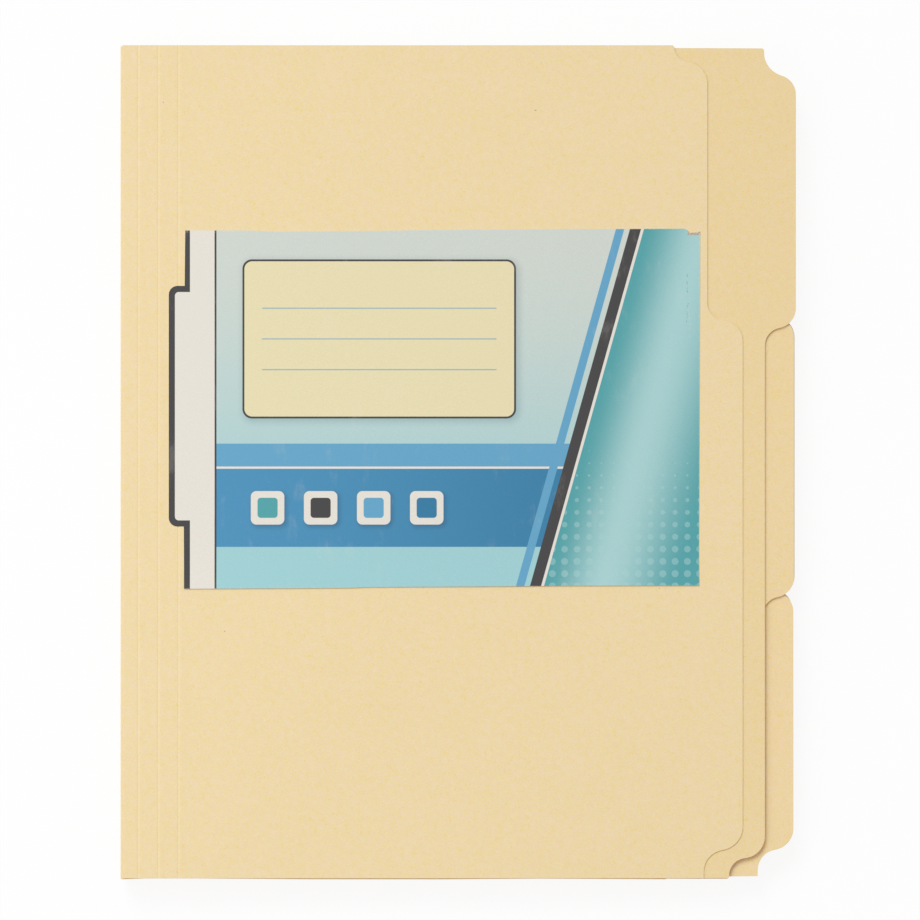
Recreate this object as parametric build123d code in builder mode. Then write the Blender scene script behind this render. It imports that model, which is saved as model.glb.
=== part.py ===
from build123d import *
import os
from math import cos, radians, sin

# A retail pack of third-cut file folders, lying flat with a paper label on top.
# X runs from the folded spines to the tabs, Y along the spines and Z up.
# The origin is under the middle of the pack, on the surface that it lies on.

# Sizes of one folder, in millimetres
folder_length = 298.45
folder_height = 241.3
back_height = 230.2
front_height = 222.25
undercut_height = 209.55
sheet_thickness = 0.28

# How the folders lie in the pack
folder_count = 12
tab_places = 3
fold_gap = 0.24
stack_gap = 0.2

# How far each folder lies off the top one, along a wave that moves on from folder to folder
drift_across = 0.9
drift_along = 0.5
drift_across_phase = 1.9
drift_along_phase = 1.7

# Rounded S-shaped steps in the cut edges: how far the edge swings, its straight middle,
# and the share of the two bends' radii that the hollow one takes
hollow_share = 0.47
shoulder_swing = 76
shoulder_run = 0.9
undercut_swing = 79
undercut_run = 1.5
corner_inset = 12.8
corner_swing = 77
corner_run = 1.3

# Straight cut between a leaf's end and its corner step, and how far that end runs in beside a tab
corner_lead = 1.4
tab_end_inset = 1.1

# Crease lines pressed into the front leaf, which let the folder widen at its foot
score_count = 3
score_first = 5.6
score_pitch = 7.2
score_width = 0.9
score_depth = 0.09

# Paper label with an ear on its left side
label_left = 22.0
label_width = 185.0
label_length = 127.6
label_above_middle = 19.3
label_thickness = 0.1
label_corner = 0.8
ear_reach = 5.4
ear_length = 86.2
ear_above_middle = 19.9
ear_corner = 3.1

# Sizes that follow from those above
fold_inner_radius = fold_gap / 2
fold_outer_radius = fold_inner_radius + sheet_thickness
folder_thickness = 2 * fold_outer_radius
stack_pitch = folder_thickness + stack_gap
third = folder_length / tab_places
drifts_across = [-drift_across * (1 - cos(drift_across_phase * n)) / 2 for n in range(folder_count)]
drifts_along = [-drift_along * (1 - cos(drift_along_phase * n)) / 2 for n in range(folder_count)]
middle_across = (min(drifts_across) + max(drifts_across) + folder_height) / 2
middle_along = (min(drifts_along) + max(drifts_along)) / 2


def folder_frame(number, height):
    """Plane at a height above a folder's lower face, with its origin at the middle of its spine."""
    across = drifts_across[number] - middle_across
    along = drifts_along[number] - middle_along
    floor = (folder_count - 1 - number) * stack_pitch
    return Plane.XY.move(Location((across, along, floor + height)))


def fold_axis(number):
    """Point on the line about which a folder's front leaf turns."""
    return folder_frame(number, fold_outer_radius).from_local_coords(Vector(fold_outer_radius, 0, 0))


def ogee_radii(shift, swing, run):
    """Radii of the hollow and the round bend of an S-shaped step."""
    both = (abs(shift) - run * sin(radians(swing))) / (1 - cos(radians(swing)))
    return hollow_share * both, (1 - hollow_share) * both


def ogee_length(shift, swing, run):
    """Length that an S-shaped step takes along the edge."""
    return sum(ogee_radii(shift, swing, run)) * sin(radians(swing)) + run * cos(radians(swing))


def ogee(start, shift, swing, run):
    """Draw an S-shaped step that moves an edge running along +Y over by shift."""
    hollow, rounded = ogee_radii(shift, swing, run)
    entry_radius, exit_radius, turn = (hollow, rounded, -swing) if shift > 0 else (rounded, hollow, swing)
    entry = JernArc(start, (0, 1), entry_radius, turn)
    middle = Line(entry @ 1, entry @ 1 + (entry % 1) * run)
    exit_arc = JernArc(middle @ 1, middle % 1, exit_radius, -turn)
    return exit_arc @ 1


def leaf_outline(edge, step, swing, run, place, end_inset=0):
    """Draw a leaf whose free edge is moved over by step in one of its thirds, and whose end runs in there."""
    low_end = -folder_length / 2
    high_end = folder_length / 2
    place_start = high_end - (place + 1) * third
    place_end = high_end - place * third
    corner_length = ogee_length(corner_inset, corner_swing, corner_run)
    half_step = ogee_length(step, swing, run) / 2
    at_low_end = place == tab_places - 1
    at_high_end = place == 0

    low_edge, low_corner = (edge + step, low_end + end_inset) if at_low_end else (edge, low_end)
    high_corner = high_end - end_inset if at_high_end else high_end
    foot = Line((fold_outer_radius, low_end), (low_edge - corner_inset, low_corner))
    rise = Line(foot @ 1, foot @ 1 + (0, corner_lead))
    last = ogee(rise @ 1, corner_inset, corner_swing, corner_run)
    if not at_low_end:
        rise = Line(last, (last.X, place_start - half_step))
        last = ogee(rise @ 1, step, swing, run)
    if not at_high_end:
        rise = Line(last, (last.X, place_end - half_step))
        last = ogee(rise @ 1, -step, swing, run)
    rise = Line(last, (last.X, high_corner - corner_lead - corner_length))
    last = ogee(rise @ 1, -corner_inset, corner_swing, corner_run)
    Polyline(last, (last.X, high_corner), (fold_outer_radius, high_end), (fold_outer_radius, low_end))


def make_back_leaf(number):
    """Back leaf of a folder, with its tab in one of the three places."""
    with BuildPart() as leaf:
        with BuildSketch(folder_frame(number, 0)):
            with BuildLine():
                step = folder_height - back_height
                place = number % tab_places
                leaf_outline(back_height, step, shoulder_swing, shoulder_run, place, tab_end_inset)
            make_face()
        extrude(amount=sheet_thickness)
    return leaf.part


def make_front_leaf(number):
    """Front leaf of a folder, cut back in front of its tab and creased along its foot."""
    upper_face = folder_thickness
    lower_face = folder_thickness - sheet_thickness
    scores = [(score_first + n * score_pitch, 0) for n in range(score_count)]
    with BuildPart() as leaf:
        with BuildSketch(folder_frame(number, lower_face)):
            with BuildLine():
                step = undercut_height - front_height
                place = number % tab_places
                leaf_outline(front_height, step, undercut_swing, undercut_run, place)
            make_face()
        extrude(amount=sheet_thickness)
        # Each crease is a groove in the outer face and the same ridge under the inner one.
        for face, mode in ((upper_face, Mode.SUBTRACT), (lower_face, Mode.ADD)):
            frame = folder_frame(number, face)
            with BuildSketch(Plane(frame.origin, x_dir=(1, 0, 0), z_dir=(0, -1, 0))):
                with Locations(*scores):
                    Polygon((-score_width / 2, 0), (0, -score_depth), (score_width / 2, 0), align=None)
            extrude(amount=folder_length / 2, both=True, mode=mode)
    return leaf.part


def make_spine_fold(number):
    """The half-round bend of card that joins a folder's two leaves."""
    axis = fold_axis(number)
    with BuildPart() as fold:
        with BuildSketch(Plane(axis, x_dir=(1, 0, 0), z_dir=(0, -1, 0))):
            with BuildLine():
                outside = CenterArc((0, 0), fold_outer_radius, 90, 180)
                inside = CenterArc((0, 0), fold_inner_radius, 90, 180)
                Line(outside @ 0, inside @ 0)
                Line(outside @ 1, inside @ 1)
            make_face()
        extrude(amount=folder_length / 2, both=True)
    return fold.part


def make_label():
    """Paper label on the top folder's front leaf."""
    top_face = folder_frame(0, folder_thickness)
    with BuildPart() as label:
        with BuildSketch(top_face):
            with Locations((label_left + label_width / 2, label_above_middle)):
                RectangleRounded(label_width, label_length, label_corner)
            with Locations((label_left, ear_above_middle)):
                RectangleRounded(2 * ear_reach, ear_length, ear_corner)
        extrude(amount=label_thickness)
    return label.part


def write(piece, name):
    """Name a finished piece and write its file."""
    piece.label = name
    export_step(piece, f"parts/{name}.step")


os.makedirs("parts", exist_ok=True)
for folder in range(folder_count):
    write(make_back_leaf(folder), f"back_leaf_{folder + 1:02d}")
    write(make_spine_fold(folder), f"spine_fold_{folder + 1:02d}")
    write(make_front_leaf(folder), f"front_leaf_{folder + 1:02d}")
write(make_label(), "pack_label")
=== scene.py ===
from math import cos, pi, radians, sin

import bmesh
import bpy
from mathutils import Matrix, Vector


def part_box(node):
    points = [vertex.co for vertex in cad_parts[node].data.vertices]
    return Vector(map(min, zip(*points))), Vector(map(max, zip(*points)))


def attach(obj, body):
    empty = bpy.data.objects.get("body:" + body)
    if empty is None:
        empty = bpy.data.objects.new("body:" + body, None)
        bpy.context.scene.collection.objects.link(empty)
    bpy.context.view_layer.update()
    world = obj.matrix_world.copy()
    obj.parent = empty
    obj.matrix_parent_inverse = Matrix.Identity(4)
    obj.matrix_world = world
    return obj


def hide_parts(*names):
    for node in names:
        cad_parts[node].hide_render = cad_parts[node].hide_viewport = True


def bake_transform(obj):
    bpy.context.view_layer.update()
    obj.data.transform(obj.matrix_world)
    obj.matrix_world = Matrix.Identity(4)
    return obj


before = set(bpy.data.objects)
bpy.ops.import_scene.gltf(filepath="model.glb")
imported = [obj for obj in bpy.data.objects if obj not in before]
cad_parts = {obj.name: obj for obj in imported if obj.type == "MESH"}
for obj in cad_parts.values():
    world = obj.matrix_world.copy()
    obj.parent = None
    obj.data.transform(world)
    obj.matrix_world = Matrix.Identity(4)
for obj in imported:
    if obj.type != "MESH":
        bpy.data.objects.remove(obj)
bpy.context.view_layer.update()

MM = 0.001

# Sizes of one folder, as in the solids. Across runs from the spine, along from its middle.
FOLDER_COUNT = 12
TAB_PLACES = 3
FOLDER_LENGTH = 298.45 * MM
FOLDER_HEIGHT = 241.3 * MM
BACK_HEIGHT = 230.2 * MM
FRONT_HEIGHT = 222.25 * MM
UNDERCUT_HEIGHT = 209.55 * MM
SHEET = 0.28 * MM
FOLD_INNER = 0.12 * MM
FOLD_OUTER = FOLD_INNER + SHEET
FOLD_MIDDLE = (FOLD_INNER + FOLD_OUTER) / 2
FOLD_STEPS = 14

# S-shaped steps of the cut edges: swing in degrees, straight run and the hollow bend's share
SHOULDER = (76, 0.9 * MM, 0.47)
UNDERCUT = (79, 1.5 * MM, 0.47)
BEND_STEPS = 9

# Corner cuts: how far the leaf's end runs in, its straight lead, then the step's width and bends
END_INSET = 1.1 * MM
FRONT_LOW = (0, 2.3 * MM, 14.0 * MM, 77, 1.4 * MM, 0.48)
FRONT_HIGH = (0, 0.9 * MM, 11.8 * MM, 80, 1.0 * MM, 0.37)
FRONT_HIGH_UNDER = (END_INSET, *FRONT_HIGH[1:])
BACK_LOW = (0, 1.0 * MM, 12.8 * MM, 80, 1.3 * MM, 0.44)
BACK_HIGH = (END_INSET, 1.5 * MM, 11.4 * MM, 69, 1.6 * MM, 0.55)
TAB_LOW = (END_INSET, 2.1 * MM, 12.8 * MM, 77, 1.1 * MM, 0.49)
CORNER_NIP = 0.6 * MM

# How far the cuts are off their places: at the start and the end of a front leaf's cut-back and
# of each tab place, and along the lower ends of the leaves under the top one
FRONT_SLIP = (0.4 * MM, 0.4 * MM)
TAB_SLIPS = ((-1.4 * MM, 0), (1.9 * MM, 1.8 * MM), (0, 3.2 * MM))
FOOT_SWAY = [(x * MM, y * MM) for x, y in ((9, 0.3), (28, 0.3), (68, 0), (116, 0), (150, 0.25))]

# Crease lines along the foot of a front leaf: a groove, and a low bead on its far side. The mesh
# is cut at so many half widths of the groove from its middle.
SCORES = [place * MM for place in (5.6, 12.8, 20)]
SCORE_HALF = 0.45 * MM
SCORE_DEPTH = 0.08 * MM
SCORE_CUTS = (-1.3, -1, -0.6, -0.3, 0, 0.3, 0.6, 1, 1.35, 1.7, 2.6, 4, 6, 8.2)
BEAD_HEIGHT = 0.045 * MM
BEAD_START = 0.2 * SCORE_HALF
BEAD_RISE = 1.5 * SCORE_HALF
BEAD_FALL = 6.5 * SCORE_HALF

# Label: its ear, then its edges, in millimetres from the lower left, top right and top left corner
LABEL_THICKNESS = 0.1 * MM
EAR_REACH = 5.4 * MM
EAR_LENGTH = 86.2 * MM
EAR_ABOVE_LABEL_MIDDLE = 0.6 * MM
EAR_CORNER = 3.1 * MM
EAR_CORNER_STEPS = 6
EAR_NOTCH = 0.3 * MM
LABEL_FOOT = ((0.1, -1.0), (59, -0.66), (67, -0.38), (110, -0.14), (140, 0.1), (184.55, 0.18))
LABEL_TEAR = (
    (0, -0.75), (-0.5, -0.6), (-0.9, -1.05), (-1.6, -0.85), (-2.3, -1.2), (-2.9, -1.0),
    (-3.5, -1.25), (-4.0, -0.6), (-4.8, 0.0), (-5.8, 0.4),
)
LABEL_HEAD = (
    (167, 0.34), (142, 0.27), (106, 0.16), (88, -0.01), (70, -0.37), (52, -0.48), (34, -0.68),
    (22, -0.25), (0.5, -0.25),
)

# Mesh: spacing of its lines, finer in the top folders, and the angle from which an edge is sharp
FINE_GRID = 5 * MM
COARSE_GRID = 9 * MM
FINE_FOLDERS = 3
CUT_TOLERANCE = 0.002 * MM
SHARP_ANGLE = radians(35)

# How the card lies. Each wave has a height, and a length and phase across and along.
PILE_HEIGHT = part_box("front_leaf_01")[1].z
WAVE_START = 70 * MM
SLOW_WAVE = 0.34 * MM
SLOW_ACROSS = (310 * MM, 0.5)
SLOW_ALONG = (350 * MM, 0.7)
QUICK_WAVE = 0.16 * MM
QUICK_ACROSS = (140 * MM, 2.0)
QUICK_ALONG = (170 * MM, 1.1)
LEAF_STRAY = 0.015 * MM
STRAY_STEP = 2.3
STRAY_PHASE = 0.9
LEAF_SAG = 0.04 * MM
SETTLE_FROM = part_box("back_leaf_03")[0].z
SETTLE = 0.3
LABEL_CURL = 0.24 * MM
CURL_WIDTH = 9 * MM

# How far the card's pattern moves on from folder to folder and from face to face, in metres
PATTERN_ACROSS = 0.83
PATTERN_ALONG = 0.37
PATTERN_SIDE = 0.41

# Camera, straight above, in the photograph's square frame
FRAME_PIXELS = 920
PIXEL = 0.3582 * MM
CAMERA_HEIGHT = 2.0
SENSOR = 36
CLIP_END = 100
AIM_ACROSS = 0.27 * MM
AIM_ALONG = 0.63 * MM

# Light: even light from all round, a soft key from the top and a little from the left, and a lamp
# at the left
WORLD_LIGHT = 0.52
KEY_FROM = (-0.35, 0.9, 0.85)
KEY_SOFTNESS = radians(30)
KEY_STRENGTH = 1.537
KEY_TINT = (0.867, 1.033, 1.1)
FILL_TINT = (1.11, 0.968, 0.915, 1)
LAMP_PLACE = (-0.64, 0.02, 0.6)
LAMP_SIZE = 0.5
LAMP_POWER = 1.55
LAMP_TINT = (0.91, 1.022, 1.055)

# Floor and backdrop
FLOOR_SIZE = 12
FLOOR_DROP = 0.05 * MM
FLOOR_COLOUR = (0.92, 0.92, 0.92, 1)
FLOOR_GLOW = 0.9
WHITE = (1, 1, 1, 1)


def smooth_step(value):
    """Rise from 0 to 1 with soft ends."""
    value = min(max(value, 0), 1)
    return value * value * (3 - 2 * value)


def linear(red, green, blue):
    """Colour in the 0 to 255 steps of a picture, turned into amounts of light by the sRGB curve."""
    steps = [step / 255 for step in (red, green, blue)]
    return (*[((s + 0.055) / 1.055) ** 2.4 if s > 0.04045 else s / 12.92 for s in steps], 1)


# Outlines

def ogee(start, shift, swing, run, share):
    """Points of an S-shaped step that moves an edge running along +Y over by shift."""
    turn = radians(swing)
    both = (abs(shift) - run * sin(turn)) / (1 - cos(turn))
    hollow, rounded = share * both, (1 - share) * both
    side, first, last = (1, hollow, rounded) if shift > 0 else (-1, rounded, hollow)
    end = (start[0] + shift, start[1] + both * sin(turn) + run * cos(turn))
    bends = [turn * n / BEND_STEPS for n in range(BEND_STEPS + 1)]
    entry = [(start[0] + side * first * (1 - cos(a)), start[1] + first * sin(a)) for a in bends]
    leave = [(end[0] - side * last * (1 - cos(a)), end[1] - last * sin(a)) for a in bends]
    return entry + leave[::-1]


def ogee_length(shift, *bend):
    """Length that an S-shaped step takes along the edge."""
    return ogee((0, 0), shift, *bend)[-1][1]


def leaf_outline(edge, step, bend, place, slips, low_cut, high_cut, sway):
    """Outline of a leaf between two corner cuts, with its edge moved over by step in one third."""
    low_end = -FOLDER_LENGTH / 2
    high_end = FOLDER_LENGTH / 2
    third = FOLDER_LENGTH / TAB_PLACES
    half_step = ogee_length(step, *bend) / 2
    place_start = high_end - (place + 1) * third + slips[0] - half_step
    place_end = high_end - place * third + slips[1] - half_step
    at_low_end = place == TAB_PLACES - 1
    at_high_end = place == 0

    level = edge + step if at_low_end else edge
    run_in, lead, width, *corner = low_cut
    side, end = level - width, low_end + run_in
    points = [(FOLD_OUTER, low_end)] + [(x, low_end + y) for x, y in sway]
    points += [(side, end)] + ogee((side, end + lead), width, *corner)
    if not at_low_end:
        points += ogee((level, place_start), step, *bend)
        level += step
    if not at_high_end:
        points += ogee((level, place_end), -step, *bend)
        level -= step
    run_in, lead, width, *corner = high_cut
    side, end = level - width, high_end - run_in
    points += ogee((level, end - lead - ogee_length(width, *corner)), -width, *corner)
    points += [(side, end - CORNER_NIP), (side - CORNER_NIP, end), (FOLD_OUTER, high_end)]
    return points


def from_corner(across, along, places):
    """Points at places that are counted in millimetres from a corner."""
    return [(across + x * MM, along + y * MM) for x, y in places]


def label_outline(low, high):
    """Outline of the label: a little off square, an ear on the left, a torn top right corner."""
    left = low.x + EAR_REACH
    middle = (low.y + high.y) / 2 + EAR_ABOVE_LABEL_MIDDLE
    ear_low = middle - EAR_LENGTH / 2
    ear_high = middle + EAR_LENGTH / 2
    ear_inner = low.x + EAR_CORNER
    turns = [pi / 2 * n / EAR_CORNER_STEPS for n in range(EAR_CORNER_STEPS + 1)]

    points = from_corner(left, low.y, LABEL_FOOT)
    points += from_corner(high.x, high.y, LABEL_TEAR)
    points += from_corner(left, high.y, LABEL_HEAD)
    points.append((left + EAR_NOTCH, ear_high))
    for turn in turns:
        across = ear_inner - EAR_CORNER * sin(turn)
        points.append((across, ear_high - EAR_CORNER * (1 - cos(turn))))
    for turn in turns:
        across = ear_inner - EAR_CORNER * cos(turn)
        points.append((across, ear_low + EAR_CORNER * (1 - sin(turn))))
    points.append((left, ear_low))
    return points


def grid_lines(start, end, spacing):
    """Evenly spaced places between two ends, without the ends."""
    count = max(round((end - start) / spacing), 1)
    return [start + (end - start) * n / count for n in range(1, count)]


# How the card lies

def wave_turn(place, length, phase):
    """Angle of a wave at a place along it."""
    return 2 * pi * place / length + phase


def wave(across, along, height):
    """How far the pile stands off flat: nothing at the spines and the floor, most on top."""
    rise = smooth_step(across / WAVE_START) * height / PILE_HEIGHT
    slow = sin(wave_turn(across, *SLOW_ACROSS)) * cos(wave_turn(along, *SLOW_ALONG))
    quick = sin(wave_turn(across, *QUICK_ACROSS)) * sin(wave_turn(along, *QUICK_ALONG))
    return rise * (SLOW_WAVE * slow + QUICK_WAVE * quick)


def stray(leaf, across):
    """Small lift or sag of one leaf, with the leaves counted from the top and front leaves even."""
    lift = LEAF_STRAY * sin(STRAY_STEP * leaf + STRAY_PHASE) * (across / FOLDER_HEIGHT) ** 2
    return lift - LEAF_SAG * smooth_step(across / FRONT_HEIGHT) if leaf % 2 == 0 else lift


def settle(across, height):
    """How far a leaf of the top folders lies lower towards the tabs, where nothing props it up."""
    return -SETTLE * max(height - SETTLE_FROM, 0) * smooth_step(across / FOLDER_HEIGHT)


def off_flat(leaf, across, along, base):
    """How far a leaf whose flat lower face is at this height lies off it. The lowest lies flat."""
    lying = wave(across, along, base) + settle(across, base)
    return lying + stray(leaf, across) * min(base / SHEET, 1)


def score_dip(across):
    """Depth of the crease lines at a distance from the spine, less the low bead beside each."""
    dip = 0
    for score in SCORES:
        off = across - score
        if abs(off) < SCORE_HALF:
            dip += SCORE_DEPTH * (1 + cos(pi * off / SCORE_HALF)) / 2
        fall = 1 - smooth_step((off - BEAD_START - BEAD_RISE) / BEAD_FALL)
        dip -= BEAD_HEIGHT * smooth_step((off - BEAD_START) / BEAD_RISE) * fall
    return dip


# Meshes

def cut_flat(outline, across, along):
    """Flat face with this outline, cut by lines at these places."""
    flat = bmesh.new()
    flat.faces.new([flat.verts.new((x, y, 0)) for x, y in outline])
    for normal, places in ((Vector((1, 0, 0)), across), (Vector((0, 1, 0)), along)):
        for place in places:
            geometry = flat.verts[:] + flat.edges[:] + flat.faces[:]
            bmesh.ops.bisect_plane(
                flat, geom=geometry, dist=CUT_TOLERANCE, plane_co=normal * place, plane_no=normal
            )
    flat.verts.index_update()
    return flat


def thick_sheet(flat, heights, at):
    """Points, faces and rim of a sheet, from its flat outline and the heights of its two faces."""
    spots = [(v.co.x, v.co.y) for v in flat.verts]
    count = len(spots)
    levels = [heights(x, y) for x, y in spots]
    points = [at(x, y, upper) for (x, y), (_, upper) in zip(spots, levels)]
    points += [at(x, y, lower) for (x, y), (lower, _) in zip(spots, levels)]
    upper_faces = [[v.index for v in face.verts] for face in flat.faces]
    lower_faces = [[n + count for n in reversed(face)] for face in upper_faces]
    rim = []
    for edge in flat.edges:
        if edge.is_boundary:
            loop = edge.link_loops[0]
            a, b = loop.vert.index, loop.link_loop_next.vert.index
            rim.append([a + count, b + count, b, a])
    flat.free()
    return spots, points, upper_faces + lower_faces, rim


def new_piece(name, points, faces, rim, materials):
    """Object with these faces, and with the second material on its rim."""
    mesh = bpy.data.meshes.new(name)
    mesh.from_pydata(points, [], faces + rim)
    for material in materials:
        mesh.materials.append(material)
    slots = [0] * len(faces) + [1] * len(rim)
    mesh.polygons.foreach_set("material_index", slots)
    mesh.polygons.foreach_set("use_smooth", [True] * len(slots))
    mesh.set_sharp_from_angle(angle=SHARP_ANGLE)
    piece = bpy.data.objects.new(name, mesh)
    bpy.context.scene.collection.objects.link(piece)
    return piece


def set_places(piece, places):
    """Give each point of a piece its place on the flat card, for the card's pattern."""
    attribute = piece.data.attributes.new("sheet_place", "FLOAT_VECTOR", "POINT")
    attribute.data.foreach_set("vector", [number for place in places for number in place])


def set_numbers(piece, name, numbers):
    """Give each point of a piece a number that its material reads."""
    attribute = piece.data.attributes.new(name, "FLOAT", "POINT")
    attribute.data.foreach_set("value", numbers)


def folder_place(number):
    """A folder's spine: its outer side, its middle along, its lowest and its highest point."""
    low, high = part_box(f"spine_fold_{number:02d}")
    return low.x, (low.y + high.y) / 2, low.z, high.z


def sheet_spot(number, across, along, side):
    """Place on the unfolded card, another stretch of the pattern for each folder and face."""
    across += PATTERN_ACROSS * number + PATTERN_SIDE * side
    return across, along + PATTERN_ALONG * number, side


def make_leaf(number, front, materials):
    """Front or back leaf of a folder, cut out, creased and laid on the pile."""
    spine, middle, foot, head = folder_place(number)
    place = (number - 1) % TAB_PLACES
    spacing = FINE_GRID if number <= FINE_FOLDERS else COARSE_GRID
    across = grid_lines(SCORES[-1] + SCORE_HALF, FOLDER_HEIGHT, spacing)
    along = grid_lines(-FOLDER_LENGTH / 2, FOLDER_LENGTH / 2, spacing)
    sway = FOOT_SWAY if number > 1 else []
    if front:
        name = f"card_front_{number:02d}"
        shape = (FRONT_HEIGHT, UNDERCUT_HEIGHT - FRONT_HEIGHT, UNDERCUT)
        high_cut = FRONT_HIGH_UNDER if number > 1 else FRONT_HIGH
        outline = leaf_outline(*shape, place, FRONT_SLIP, FRONT_LOW, high_cut, sway)
        across += [score + cut * SCORE_HALF for score in SCORES for cut in SCORE_CUTS]
        base = head - SHEET
        leaf = 2 * number - 2
    else:
        name = f"card_back_{number:02d}"
        shape = (BACK_HEIGHT, FOLDER_HEIGHT - BACK_HEIGHT, SHOULDER)
        low_cut = TAB_LOW if place == TAB_PLACES - 1 else BACK_LOW
        outline = leaf_outline(*shape, place, TAB_SLIPS[place], low_cut, BACK_HIGH, sway)
        base = foot
        leaf = 2 * number - 1

    def heights(x, y):
        lower = base + off_flat(leaf, x, y, base)
        if front:
            lower -= score_dip(x)
        return lower, lower + SHEET

    def at(x, y, z):
        return spine + x, middle + y, z

    spots, points, faces, rim = thick_sheet(cut_flat(outline, across, along), heights, at)
    piece = new_piece(name, points, faces, rim, materials)
    bend = FOLD_MIDDLE * pi / 2 - FOLD_OUTER
    sign, sides = (1, (0, 1)) if front else (-1, (1, 0))
    set_places(
        piece, [sheet_spot(number, sign * (x + bend), y, side) for side in sides for x, y in spots]
    )
    return piece


def make_fold(number, materials):
    """The bent strip of card between the two leaves of a folder."""
    spine, middle, foot, head = folder_place(number)
    turns = [pi / 2 + pi * n / FOLD_STEPS for n in range(FOLD_STEPS + 1)]
    ring = [(FOLD_OUTER, turn, 0) for turn in turns]
    ring += [(FOLD_INNER, turn, 1) for turn in reversed(turns)]
    half = FOLDER_LENGTH / 2
    rows = [-half] + grid_lines(-half, half, COARSE_GRID) + [half]
    points = []
    places = []
    for row in rows:
        for radius, turn, side in ring:
            x = FOLD_OUTER + radius * cos(turn)
            z = (foot + head) / 2 + radius * sin(turn)
            points.append((spine + x, middle + row, z))
            places.append(sheet_spot(number, FOLD_MIDDLE * (pi - turn), row, side))
    size = len(ring)
    last = size * (len(rows) - 1)
    faces = []
    for start in range(0, last, size):
        for n in range(size):
            a, b = start + n, start + (n + 1) % size
            faces.append([a, b, b + size, a + size])
    caps = [list(reversed(range(size))), list(range(last, last + size))]
    piece = new_piece(f"card_fold_{number:02d}", points, faces, caps, materials)
    set_places(piece, places)
    # Painted shade on the fold: 1 at the middle line of the bend, outside and in the crease, down
    # to 0 where the fold meets the leaves
    set_numbers(piece, "fold_painted_shade", [max(-cos(turn), 0) for _, turn, _ in ring] * len(rows))
    return piece


def make_label(materials):
    """The paper label, which lies on the top folder's front leaf."""
    low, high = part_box("pack_label")
    spine, middle, _, head = folder_place(1)
    across = grid_lines(low.x, high.x, FINE_GRID)
    along = grid_lines(low.y, high.y, FINE_GRID)

    def heights(x, y):
        lower = head + off_flat(0, x - spine, y - middle, head - SHEET)
        lower += LABEL_CURL * smooth_step(1 - (y - low.y) / CURL_WIDTH)
        return lower, lower + LABEL_THICKNESS

    def at(x, y, z):
        return x, y, z

    flat = cut_flat(label_outline(low, high), across, along)
    _, points, faces, rim = thick_sheet(flat, heights, at)
    return new_piece("label_sheet", points, faces, rim, materials)


# Materials

class Nodes:
    """A node tree in the making. A call adds a node and gives back one of its outputs."""

    def __init__(self, owner):
        owner.use_nodes = True
        self.tree = owner.node_tree
        self.tree.nodes.clear()

    def add(self, kind, inputs, output=0, **settings):
        node = self.tree.nodes.new(kind)
        for name, value in settings.items():
            setattr(node, name, value)
        for key, value in inputs.items():
            if isinstance(value, bpy.types.NodeSocket):
                self.tree.links.new(value, node.inputs[key])
            else:
                node.inputs[key].default_value = value
        return node.outputs[output] if node.outputs else node

    def math(self, operation, *values):
        return self.add("ShaderNodeMath", dict(enumerate(values)), operation=operation)


class Paint(Nodes):
    """A node material in the making."""

    def __init__(self, name):
        self.material = bpy.data.materials.new(name)
        super().__init__(self.material)

    def sheet_place(self):
        return self.add("ShaderNodeAttribute", {}, "Vector", attribute_name="sheet_place")

    def object_place(self):
        return self.add("ShaderNodeTexCoord", {}, "Object")

    def number(self, name):
        return self.add("ShaderNodeAttribute", {}, "Fac", attribute_name=name)

    def vector(self, operation, *values):
        return self.add("ShaderNodeVectorMath", dict(enumerate(values)), operation=operation)

    def noise(self, place, scale, detail, roughness, output=0):
        inputs = {"Vector": place, "Scale": scale, "Detail": detail, "Roughness": roughness}
        return self.add("ShaderNodeTexNoise", inputs, output)

    def cells(self, place):
        """Distance to the middle of the nearest cell of a flat pattern, and its cell's number."""
        inputs = {"Vector": place, "Scale": 1}
        near = self.add("ShaderNodeTexVoronoi", inputs, voronoi_dimensions="2D")
        number = self.add("ShaderNodeSeparateColor", {"Color": near.node.outputs["Color"]})
        return near, number

    def ramp(self, value, low, high, start=0, end=1):
        """Value taken from low..high to start..end, with soft ends."""
        inputs = {"Value": value, "From Min": low, "From Max": high, "To Min": start, "To Max": end}
        return self.add("ShaderNodeMapRange", inputs, interpolation_type="SMOOTHSTEP")

    def mix(self, share, under, over, blend="MIX"):
        return self.add(
            "ShaderNodeMix", {0: share, 6: under, 7: over}, 2, data_type="RGBA", blend_type=blend
        )

    def shade(self, colour, amount):
        """Colour made lighter or darker by an amount about 1."""
        return self.mix(1, colour, amount, "MULTIPLY")

    def mottle(self, colour, spots, amounts):
        """Colour made lighter or darker in each channel by noise about a half."""
        rest = [1 - amount / 2 for amount in amounts]
        return self.shade(colour, self.vector("MULTIPLY_ADD", spots, amounts, rest))

    def finish(self, colour, height, span, roughness, shine, depth):
        """Surface with a fine relief, whose height from 0 to 1 spans a depth in metres."""
        inputs = {"Base Color": colour, "Roughness": self.ramp(height, *span, *roughness)}
        inputs["Normal"] = self.add(
            "ShaderNodeBump", {"Strength": 1, "Distance": depth, "Height": height}
        )
        inputs["Specular IOR Level"] = shine
        surface = self.add("ShaderNodeBsdfPrincipled", inputs)
        self.add("ShaderNodeOutputMaterial", {"Surface": surface})
        return self.material


# A noise is a scale, a detail and a roughness. A surface is the span of the noise that shapes it,
# its roughness over that span, its shine and the depth of its relief.
NOISE_MIDDLE = (0.5, 0.5, 0.5)
NOISE_SPAN = (0.3, 0.7)

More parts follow.
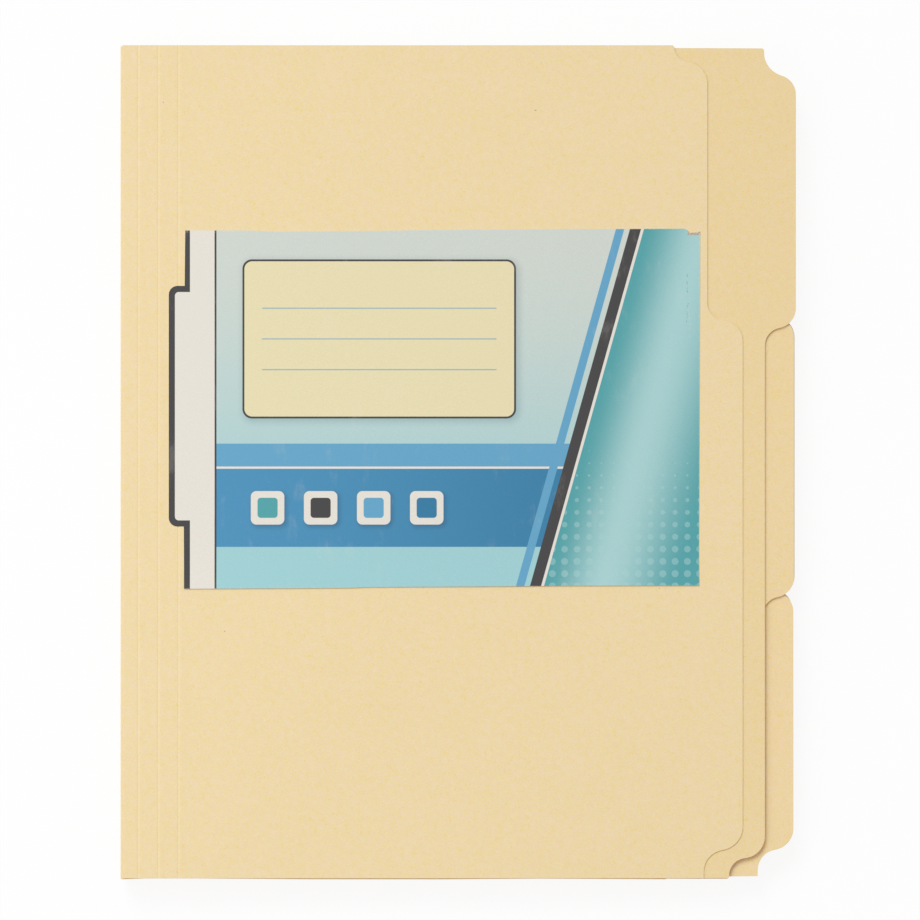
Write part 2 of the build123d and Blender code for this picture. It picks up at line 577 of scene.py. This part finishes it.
# Faces of the card
CARD_OUTSIDE = linear(239, 217, 171)
CARD_INSIDE = linear(238, 214, 164)
GRAIN_NOISE = (1850, 1, 0.5)
GRAIN_AMOUNTS = (0.2, 0.15, 0.95)
CLOUDS = (((420, 1, 0.5), (0.045, 0.035, 0.3)), ((70, 1, 0.5), (0.018, 0.014, 0.11)))
FOLDER_TINT = (0.03, 0.024, 0.045)
SHADE_STEP = 0.39
# Painted shade across the bend of the fold, darkest at its middle line, on the outside and in the
# crease
FOLD_PAINTED_SHADE = (0.91, 0.9, 0.89, 1)
TOOTH_NOISE = (1500, 3, 0.6)
CARD_SURFACE = (NOISE_SPAN, (0.74, 0.86), 0.3, 0.012 * MM)

# Fibres and specks in the card: a share of the cells of a pattern, stretched to cells per metre
FIBRE_TINT = (1.01, 0.95, 0.62, 1)
FIBRE_TURNS = [radians(turn) for turn in (18, 71, 139)]
FIBRE_STRETCH = (230, 1050, 1)
FIBRE_SHARE = 0.2
FIBRE_STRENGTH = 0.8
FIBRE_FADE = (0.05, 0.24)
FIBRE_CURL = (3 * MM, 3 * MM, 0)
CURL_NOISE = (300, 1, 0.5)
SPECK_TINT = linear(122, 100, 70)
SPECK_STRETCH = (45, 45, 1)
SPECK_SHARE = 0.035
SPECK_STRENGTH = 0.5
SPECK_FADE = (0.005, 0.016)

# Cut edge of the card
CUT_DARK = linear(220, 188, 142)
CUT_LIGHT = linear(246, 224, 184)
CUT_STRETCH = (1, 1, 4)
CUT_NOISE = (1400, 3, 0.65)
CUT_SURFACE = (NOISE_SPAN, (0.8, 0.95), 0.2, 0.03 * MM)


def card_face():
    """Buff card: softly mottled and cloudy, with short yellow fibres, a few dark specks and painted
    shade across the bend of the fold.
    """
    paint = Paint("manila_card_face")
    place = paint.sheet_place()
    side = paint.add("ShaderNodeSeparateXYZ", {"Vector": place}, "Z")
    colour = paint.mix(side, CARD_OUTSIDE, CARD_INSIDE)
    colour = paint.mottle(colour, paint.noise(place, *GRAIN_NOISE, "Color"), GRAIN_AMOUNTS)
    for noise, amounts in CLOUDS:
        colour = paint.mottle(colour, paint.noise(place, *noise), amounts)
    shade = paint.vector("MULTIPLY_ADD", paint.number("folder_shade"), FOLDER_TINT, (1, 1, 1))
    colour = paint.shade(colour, shade)
    # Painted shade darkens the card across the bend of the fold
    colour = paint.mix(paint.number("fold_painted_shade"), colour, FOLD_PAINTED_SHADE, "MULTIPLY")

    drift = paint.vector("SUBTRACT", paint.noise(place, *CURL_NOISE, "Color"), NOISE_MIDDLE)
    bent = paint.vector("MULTIPLY_ADD", drift, FIBRE_CURL, place)
    for turn in FIBRE_TURNS:
        inputs = {"Vector": bent, "Angle": turn}
        turned = paint.add("ShaderNodeVectorRotate", inputs, rotation_type="Z_AXIS")
        near, number = paint.cells(paint.vector("MULTIPLY", turned, FIBRE_STRETCH))
        chosen = paint.ramp(number, FIBRE_SHARE / 2, FIBRE_SHARE, FIBRE_STRENGTH, 0)
        fibre = paint.math("MULTIPLY", paint.ramp(near, *FIBRE_FADE, 1, 0), chosen)
        colour = paint.mix(fibre, colour, FIBRE_TINT, "MULTIPLY")

    near, number = paint.cells(paint.vector("MULTIPLY", bent, SPECK_STRETCH))
    chosen = paint.math("LESS_THAN", number, SPECK_SHARE)
    speck = paint.math("MULTIPLY", paint.ramp(near, *SPECK_FADE, SPECK_STRENGTH, 0), chosen)
    colour = paint.mix(speck, colour, SPECK_TINT)
    return paint.finish(colour, paint.noise(place, *TOOTH_NOISE), *CARD_SURFACE)


def cut_edge(name, stretch, noise, dark, light, surface):
    """Cut edge of a sheet, with fibres that run from dark to light."""
    paint = Paint(name)
    fibres = paint.noise(paint.vector("MULTIPLY", paint.object_place(), stretch), *noise)
    colour = paint.mix(paint.ramp(fibres, *NOISE_SPAN), dark, light)
    return paint.finish(colour, fibres, *surface)


def card_edge():
    """Cut edge of the card: paler, with fibres that lie along the sheet."""
    return cut_edge("manila_card_edge", CUT_STRETCH, CUT_NOISE, CUT_DARK, CUT_LIGHT, CUT_SURFACE)


# Inks of the label
INK = linear(60, 58, 58)
OFF_WHITE = linear(229, 224, 214)
CREAM = linear(231, 220, 178)
GROUND_HIGH = linear(207, 214, 206)
GROUND_LOW = linear(158, 206, 210)
BLUE_LEFT = linear(72, 143, 184)
BLUE_RIGHT = linear(46, 119, 158)
MID_BLUE = linear(98, 163, 198)
TEAL = linear(79, 160, 165)
TEAL_LIGHT = linear(168, 209, 209)
RULE_GREY = linear(150, 178, 188)
SHADOW_INK = linear(36, 76, 102)
TORN_DARK = linear(150, 136, 120)
TORN_LIGHT = linear(208, 202, 190)

# Places of the print, in millimetres from the label's lower left corner. A panel is its left,
# right, low and high side and the radius of its corners.
PRINT_SOFT = 0.07
LOW_BAND = (14, 42)
BAND_LINE = (42, 42.8)
HIGH_BAND = (42.8, 51)
SQUARE_INKS = (TEAL, INK, MID_BLUE, BLUE_RIGHT)
SQUARE_FIRST = 30
SQUARE_PITCH = 19
SQUARE_ROW = 28
SQUARE_OUTER = (6, 2)
SQUARE_INNER = (3.6, 1.2)
SQUARE_SHADOW = 0.6
PANEL = (21, 119, 60, 117, 3.4)
PANEL_INSIDE = (21.7, 118.3, 60.7, 116.3, 2.8)
PANEL_SHADOW = 0.4
RULED = (28, 112, 68, 109, 0.1)
RULES_FROM = 66.5
RULE_PITCH = 11
RULE_HALF = 0.2
SHADOW_SHIFT = 0.7
SHADOW_SOFT = 0.9
BORDER = 2.2
BORDER_LINE = 0.7
PLATE_END = 11
EAR_PLATE_CORNER = 1.4

# Slanted field, with places across at the label's foot, and its dots
SLANT = 0.28
FIELD_STRIPE = (119, 122)
FIELD_BAR = (124, 128)
FIELD_LINE = (128, 129)
FIELD_START = 129
SHEEN_MIDDLE = 150
SHEEN_END = 178
DOT_PITCH = 4.4
DOT_ROWS = (4, 70)
DOT_RADII = (1.25, -0.2)
DOT_SHARE = 0.4

# Wear of the print
INK_NOISE = (3.2, 3, 0.6)
INK_SPAN = (0.2, 0.8)
INK_SHADES = (0.95, 1.05)
PRINT_NOISE = (2.6, 1, 0.5)
PRINT_AMOUNTS = (0.16, 0.08, 0.13)
PRINT_SURFACE = (INK_SPAN, (0.4, 0.52), 0.4, 0.008 * MM)
CRACKS = ((3.4, (94, 113), INK), (2.6, (86, 104), OFF_WHITE))
CRACK_STRETCH = (0, 0.35, 0)
CRACK_NOISE = (1, 3, 0.6)
CRACK_SWAY = 2.8
CRACK_WIDTH = 0.26
CRACK_SHARE = 0.45
BREAK_NOISE = (0.9, 3, 0.7)
BREAK_SPAN = (0.5, 0.6)
TEAR_DEPTH = 1.2
TEAR_WIDTH = 4.6
TEAR_RAGGED = 1.6
TEAR_SPAN = (0.35, 0.65)
RUB_STRETCH = (0.12, 0.05, 1)
RUB_NOISE = (1, 4, 0.7)
RUB_SPAN = (0.55, 0.75)
RUB_SHARE = 0.09
EDGE_RISE = 1.2
RIM_RIGHT = 0.55
RIM_HEAD = 1.0
RIM_FOOT = -0.7
CHIP_NOISE = (2.4, 3, 0.7)
CHIP_SPAN = (0.45, 0.65)
CHIP_SHARE = 0.35

# Back and cut edge of the label
PAPER_DARK = linear(206, 200, 190)
PAPER_LIGHT = linear(232, 228, 220)
PAPER_STRETCH = (1, 1, 1)
PAPER_NOISE = (1800, 3, 0.6)
PAPER_SURFACE = (NOISE_SPAN, (0.8, 0.92), 0.2, 0.02 * MM)


class Print(Paint):
    """Printed paper, with flat shapes of ink laid over each other."""

    def __init__(self, name, low, high):
        super().__init__(name)
        self.width = (high.x - low.x - EAR_REACH) / MM
        self.length = (high.y - low.y) / MM
        spot = self.vector("SUBTRACT", self.object_place(), (low.x + EAR_REACH, low.y, 0))
        self.spot = self.vector("MULTIPLY", spot, (1 / MM, 1 / MM, 1 / MM))
        self.across = self.add("ShaderNodeSeparateXYZ", {"Vector": self.spot})
        self.along = self.across.node.outputs["Y"]
        self.colour = self.mix(self.ramp(self.along, 0, self.length), GROUND_LOW, GROUND_HIGH)

    def past(self, value, edge):
        return self.ramp(value, edge - PRINT_SOFT, edge + PRINT_SOFT)

    def before(self, value, edge):
        return self.math("SUBTRACT", 1, self.past(value, edge))

    def strip(self, value, low, high):
        return self.math("SUBTRACT", self.past(value, low), self.past(value, high))

    def distance(self, across, along):
        squares = [self.math("MULTIPLY", side, side) for side in (across, along)]
        return self.math("SQRT", self.math("ADD", *squares))

    def panel(self, left, right, low, high, corner, soft=PRINT_SOFT):
        """Rectangle with rounded corners, and with edges as soft as said."""
        sides = []
        for value, start, end in ((self.across, left, right), (self.along, low, high)):
            off = self.math("ABSOLUTE", self.math("SUBTRACT", value, (start + end) / 2))
            over = self.math("SUBTRACT", off, (end - start) / 2 - corner)
            sides.append(self.math("MAXIMUM", over, 0))
        return self.ramp(self.distance(*sides), corner - soft, corner + soft, 1, 0)

    def lay(self, shape, ink):
        self.colour = self.mix(shape, self.colour, ink)

    def shadow(self, left, right, low, high, corner, share):
        """Soft shade to the right of and below a panel that comes next."""
        across = (left + SHADOW_SHIFT, right + SHADOW_SHIFT)
        along = (low - SHADOW_SHIFT, high - SHADOW_SHIFT)
        soft = self.panel(*across, *along, corner, SHADOW_SOFT * corner)
        self.lay(self.math("MULTIPLY", soft, share), SHADOW_INK)


def square(middle, half, corner):
    """Panel of one small square in the row."""
    return middle - half, middle + half, SQUARE_ROW - half, SQUARE_ROW + half, corner


def print_bands(paint):
    """Blue band with a row of small squares, and a narrower band over it."""
    blue = paint.mix(paint.ramp(paint.across, 0, paint.width), BLUE_LEFT, BLUE_RIGHT)
    paint.lay(paint.strip(paint.along, *LOW_BAND), blue)
    paint.lay(paint.strip(paint.along, *BAND_LINE), OFF_WHITE)
    paint.lay(paint.strip(paint.along, *HIGH_BAND), MID_BLUE)
    for number, ink in enumerate(SQUARE_INKS):
        middle = SQUARE_FIRST + SQUARE_PITCH * number
        paint.shadow(*square(middle, *SQUARE_OUTER), SQUARE_SHADOW)
        paint.lay(paint.panel(*square(middle, *SQUARE_OUTER)), OFF_WHITE)
        paint.lay(paint.panel(*square(middle, *SQUARE_INNER)), ink)


def print_field(paint):
    """Slanted teal field on the right, with rows of dots that shrink upwards."""
    slant = paint.math("SUBTRACT", paint.across, paint.math("MULTIPLY", paint.along, SLANT))
    paint.lay(paint.strip(slant, *FIELD_STRIPE), MID_BLUE)
    paint.lay(paint.strip(slant, *FIELD_BAR), INK)
    brighten = paint.ramp(slant, FIELD_START, SHEEN_MIDDLE)
    sheen = paint.math("SUBTRACT", brighten, paint.ramp(slant, SHEEN_MIDDLE, SHEEN_END))
    field = paint.past(slant, FIELD_START)
    paint.lay(field, paint.mix(sheen, TEAL, TEAL_LIGHT))
    steps = [paint.math("PINGPONG", value, DOT_PITCH / 2) for value in (paint.across, paint.along)]
    radius = paint.ramp(paint.along, *DOT_ROWS, *DOT_RADII)
    dots = paint.past(paint.math("SUBTRACT", radius, paint.distance(*steps)), 0)
    dots = paint.math("MULTIPLY", dots, field)
    paint.lay(paint.math("MULTIPLY", dots, DOT_SHARE), TEAL_LIGHT)
    paint.lay(paint.strip(slant, *FIELD_LINE), OFF_WHITE)


def print_panel(paint):
    """Blank panel with ruled lines."""
    paint.shadow(*PANEL, PANEL_SHADOW)
    paint.lay(paint.panel(*PANEL), INK)
    paint.lay(paint.panel(*PANEL_INSIDE), CREAM)
    above = paint.math("SUBTRACT", paint.along, RULES_FROM)
    lines = paint.math("LESS_THAN", paint.math("PINGPONG", above, RULE_PITCH / 2), RULE_HALF)
    paint.lay(paint.math("MULTIPLY", paint.panel(*RULED), lines), RULE_GREY)


def print_border(paint):
    """Dark border down the left edge and round the ear, with a pale strip inside it."""
    paint.lay(paint.before(paint.across, PLATE_END + BORDER_LINE), INK)
    ear_low = paint.length / 2 + (EAR_ABOVE_LABEL_MIDDLE - EAR_LENGTH / 2) / MM + BORDER
    ear_high = ear_low + EAR_LENGTH / MM - 2 * BORDER
    ear_left = BORDER - EAR_REACH / MM
    plate = paint.panel(ear_left, PLATE_END, ear_low, ear_high, EAR_PLATE_CORNER)
    paint.lay(plate, OFF_WHITE)
    paint.lay(paint.strip(paint.across, BORDER, PLATE_END), OFF_WHITE)


def wear_print(paint, tooth):
    """Uneven ink, cracked print, a torn corner, rubbed areas and worn cut edges."""
    across, along, spot = paint.across, paint.along, paint.spot
    width, length = paint.width, paint.length
    paint.colour = paint.shade(paint.colour, paint.ramp(tooth, *INK_SPAN, *INK_SHADES))
    grain = paint.noise(spot, *PRINT_NOISE, "Color")
    paint.colour = paint.mottle(paint.colour, grain, PRINT_AMOUNTS)

    sway = paint.noise(paint.vector("MULTIPLY", spot, CRACK_STRETCH), *CRACK_NOISE)
    bent = paint.math("ADD", across, paint.math("MULTIPLY", sway, CRACK_SWAY))
    broken = paint.ramp(paint.noise(spot, *BREAK_NOISE), *BREAK_SPAN)
    for inset, reach, tint in CRACKS:
        line = paint.strip(bent, width - inset, width - inset + CRACK_WIDTH)
        pieces = paint.math("MULTIPLY", broken, paint.strip(along, *reach))
        crack = paint.math("MULTIPLY", line, pieces)
        paint.lay(paint.math("MULTIPLY", crack, CRACK_SHARE), tint)

    ragged = paint.math("ADD", along, paint.math("MULTIPLY", tooth, TEAR_RAGGED))
    corner = paint.past(across, width - TEAR_WIDTH)
    torn = paint.math("MULTIPLY", paint.past(ragged, length - TEAR_DEPTH), corner)
    paint.lay(torn, paint.mix(paint.ramp(tooth, *TEAR_SPAN), TORN_DARK, TORN_LIGHT))

    rub = paint.noise(paint.vector("MULTIPLY", spot, RUB_STRETCH), *RUB_NOISE)
    paint.lay(paint.ramp(rub, *RUB_SPAN, 0, RUB_SHARE), OFF_WHITE)

    level = paint.math("MULTIPLY_ADD", across, -EDGE_RISE / width, along)
    worn = paint.past(across, width - RIM_RIGHT)
    for rim in (paint.past(level, length - RIM_HEAD), paint.before(level, RIM_FOOT)):
        worn = paint.math("MAXIMUM", worn, rim)
    chips = paint.ramp(paint.noise(spot, *CHIP_NOISE), *CHIP_SPAN, 0, CHIP_SHARE)
    paint.lay(paint.math("MULTIPLY", worn, chips), OFF_WHITE)


def label_print(low, high):
    """Plain printed label with bands and panels, a little rubbed."""
    paint = Print("label_print", low, high)
    print_bands(paint)
    print_field(paint)
    print_panel(paint)
    print_border(paint)
    tooth = paint.noise(paint.spot, *INK_NOISE)
    wear_print(paint, tooth)
    return paint.finish(paint.colour, tooth, *PRINT_SURFACE)


def label_paper():
    """Uncoated back and cut edge of the label."""
    tones = (PAPER_DARK, PAPER_LIGHT)
    return cut_edge("label_paper_edge", PAPER_STRETCH, PAPER_NOISE, *tones, PAPER_SURFACE)


# Stage

def lit_or_white(nodes, lit, white):
    """Mix that shows white to the camera and mirrors, and leaves the other light as it is."""
    seen = nodes.add("ShaderNodeLightPath", {}, "Is Camera Ray")
    rays = seen.node
    for name in ("Is Glossy Ray", "Is Transmission Ray"):
        seen = nodes.math("MAXIMUM", seen, rays.outputs[name])
    return nodes.add("ShaderNodeMixShader", {0: seen, 1: lit, 2: white})


def make_world():
    """Even light from all round, with a white backdrop."""
    world = bpy.data.worlds.new("studio")
    nodes = Nodes(world)
    light = nodes.add("ShaderNodeBackground", {"Strength": WORLD_LIGHT, "Color": FILL_TINT})
    white = nodes.add("ShaderNodeBackground", {"Strength": 1, "Color": WHITE})
    nodes.add("ShaderNodeOutputWorld", {"Surface": lit_or_white(nodes, light, white)})
    bpy.context.scene.world = world


def make_floor():
    """White floor, which keeps a soft shadow under the pack."""
    mesh = bpy.data.meshes.new("floor")
    half = FLOOR_SIZE / 2
    corners = [(x * half, y * half, -FLOOR_DROP) for x, y in ((-1, -1), (1, -1), (1, 1), (-1, 1))]
    mesh.from_pydata(corners, [], [[0, 1, 2, 3]])
    floor = bpy.data.objects.new("floor", mesh)
    bpy.context.scene.collection.objects.link(floor)

    material = bpy.data.materials.new("floor_white")
    nodes = Nodes(material)
    matt = nodes.add("ShaderNodeBsdfDiffuse", {"Color": FLOOR_COLOUR})
    glow = nodes.add("ShaderNodeEmission", {"Strength": 1})
    partly = nodes.add("ShaderNodeMixShader", {0: FLOOR_GLOW, 1: matt, 2: glow})
    nodes.add("ShaderNodeOutputMaterial", {"Surface": lit_or_white(nodes, matt, partly)})
    mesh.materials.append(material)


def add_light(data, place):
    """Light at a place, aimed at the middle of the pack."""
    light = bpy.data.objects.new(data.name, data)
    light.location = place
    light.rotation_mode = "QUATERNION"
    light.rotation_quaternion = (-Vector(place)).to_track_quat("-Z", "Y")
    bpy.context.scene.collection.objects.link(light)


def make_lights():
    """Soft key from the top and a little from the left, and a lamp that lifts the left side."""
    key = bpy.data.lights.new("key", "SUN")
    key.angle = KEY_SOFTNESS
    key.energy = KEY_STRENGTH
    key.color = KEY_TINT
    add_light(key, KEY_FROM)
    lamp = bpy.data.lights.new("lamp", "AREA")
    lamp.shape = "SQUARE"
    lamp.size = LAMP_SIZE
    lamp.energy = LAMP_POWER
    lamp.color = LAMP_TINT
    add_light(lamp, LAMP_PLACE)


def make_camera():
    """Camera straight above the top folder, with the spines on the left."""
    spine, middle, _, head = folder_place(1)
    data = bpy.data.cameras.new("camera")
    data.sensor_width = SENSOR
    data.lens = SENSOR * CAMERA_HEIGHT / (FRAME_PIXELS * PIXEL)
    data.clip_end = CLIP_END
    camera = bpy.data.objects.new("camera", data)
    across = spine + FOLDER_HEIGHT / 2 + AIM_ACROSS
    camera.location = (across, middle + AIM_ALONG, head + CAMERA_HEIGHT)
    bpy.context.scene.collection.objects.link(camera)
    bpy.context.scene.camera = camera


# The pack

def make_folder(number, materials):
    """One folder: two leaves that ride on their bodies, and the bent strip of the fold between
    them.
    """
    tag = f"{number:02d}"
    back = make_leaf(number, False, materials)
    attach(back, f"back_{tag}")
    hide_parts(f"back_leaf_{tag}")
    front = make_leaf(number, True, materials)
    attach(front, f"front_{tag}")
    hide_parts(f"front_leaf_{tag}")
    fold = make_fold(number, materials)
    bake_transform(fold)
    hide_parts(f"spine_fold_{tag}")
    shade = sin(SHADE_STEP * (number - 1) ** 2)
    for piece in (back, front, fold):
        set_numbers(piece, "folder_shade", [shade] * len(piece.data.vertices))


card = [card_face(), card_edge()]
for folder in range(1, FOLDER_COUNT + 1):
    make_folder(folder, card)

label = make_label([label_print(*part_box("pack_label")), label_paper()])
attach(label, "front_01")
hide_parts("pack_label")

make_world()
make_floor()
make_lights()
make_camera()
bpy.context.scene.view_settings.view_transform = "Standard"
